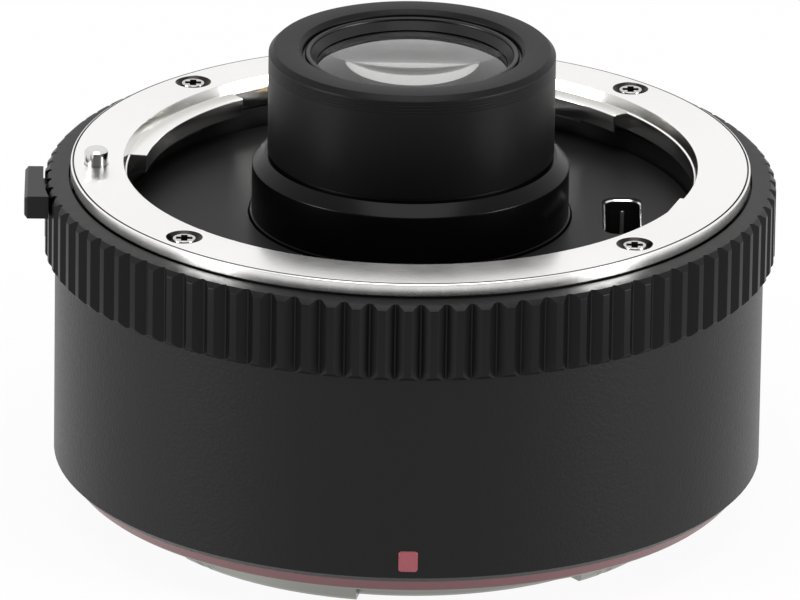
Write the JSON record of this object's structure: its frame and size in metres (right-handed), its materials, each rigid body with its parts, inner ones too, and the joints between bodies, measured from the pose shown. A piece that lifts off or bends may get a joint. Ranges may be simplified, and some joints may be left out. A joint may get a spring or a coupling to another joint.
{
  "type": "camera teleconverter",
  "caption": "Short cylindrical teleconverter with bayonet mounts at both ends, a knurled grip, a lock release button and a lens barrel that reaches into the mounted lens.",
  "frame": {"origin": "on the optical axis, in the plane of the rear bayonet's lowest face, on which the part stands", "axes": "+Z along the optical axis from the camera side to the lens side; -Y towards the index mark; the release button is near -X"},
  "size_m": [0.0719, 0.07, 0.0462],
  "materials": {
    "polished_metal": "polished",
    "mount_metal": "satin",
    "screw_steel": "polished",
    "pin_steel": "satin",
    "spring_steel": "satin",
    "grip_black": "satin",
    "barrel_black": "fine grained satin",
    "index_red": "gloss",
    "trim_red": "satin",
    "brass_shim": "plain",
    "floor_grey": "matt",
    "chassis_aluminium": "black anodised",
    "button_black": "matt",
    "nose_black": "black anodised, matt",
    "collar_black": "black anodised, glossy",
    "cell_black": "black anodised",
    "baffle_black": "matt",
    "gold_contact": "gold plated",
    "board_green": "solder mask",
    "chip_black": "matt",
    "flex_amber": "film",
    "optical_glass": "coated"
  },
  "bodies": {
    "converter": {"front_mount_ring": "polished_metal", "front_mount_screws": "screw_steel", "leaf_springs": "spring_steel", "grip_ring": "grip_black", "main_barrel": "barrel_black", "index_mark": "index_red", "rear_trim_ring": "trim_red", "rear_mount": "mount_metal", "rear_mount_screws": "screw_steel", "rear_mount_shim": "brass_shim", "front_baffle_plate": "floor_grey", "slot_pin": "pin_steel", "chassis": "chassis_aluminium", "lock_pin_spring": "spring_steel", "nose_barrel": "nose_black", "nose_collar": "collar_black", "front_retaining_ring": "nose_black", "front_element": "optical_glass", "doublet_crown": "optical_glass", "doublet_flint": "optical_glass", "triplet_front": "optical_glass", "triplet_middle": "optical_glass", "triplet_rear": "optical_glass", "rear_meniscus": "optical_glass", "rear_element": "optical_glass", "front_spacer": "cell_black", "middle_spacer": "cell_black", "rear_cell": "cell_black", "meniscus_ring": "cell_black", "rear_retaining_ring": "cell_black", "rear_baffle": "baffle_black", "front_contact_block": "baffle_black", "rear_contact_block": "baffle_black", "rear_contact_pads": "gold_contact", "circuit_board": "board_green", "board_components": "chip_black", "board_screws": "screw_steel", "front_flex": "flex_amber", "rear_flex": "flex_amber"},
    "release_button": {"release_button": "button_black"},
    "lock_pin": {"lock_pin": "polished_metal"},
    "contact_pins": {"contact_pins": "gold_contact"}
  },
  "joints": [
    {"name": "release_button_push", "type": "slide", "parent": "converter", "child": "release_button", "axis": [0, 0, -1], "range_m": [0, 0.0016], "stiffness_N_per_m": 400},
    {"name": "lock_pin_slide", "type": "slide", "parent": "converter", "child": "lock_pin", "axis": [0, 0, -1], "range_m": [0, 0.0016], "deforming": ["lock_pin_spring"]},
    {"name": "contact_pins_press", "type": "slide", "parent": "converter", "child": "contact_pins", "axis": [0, 0, -1], "range_m": [0, 0.0007], "stiffness_N_per_m": 400}
  ],
  "couplings": [
    {"joint": "lock_pin_slide", "follows": "release_button_push", "ratio": 1}
  ]
}
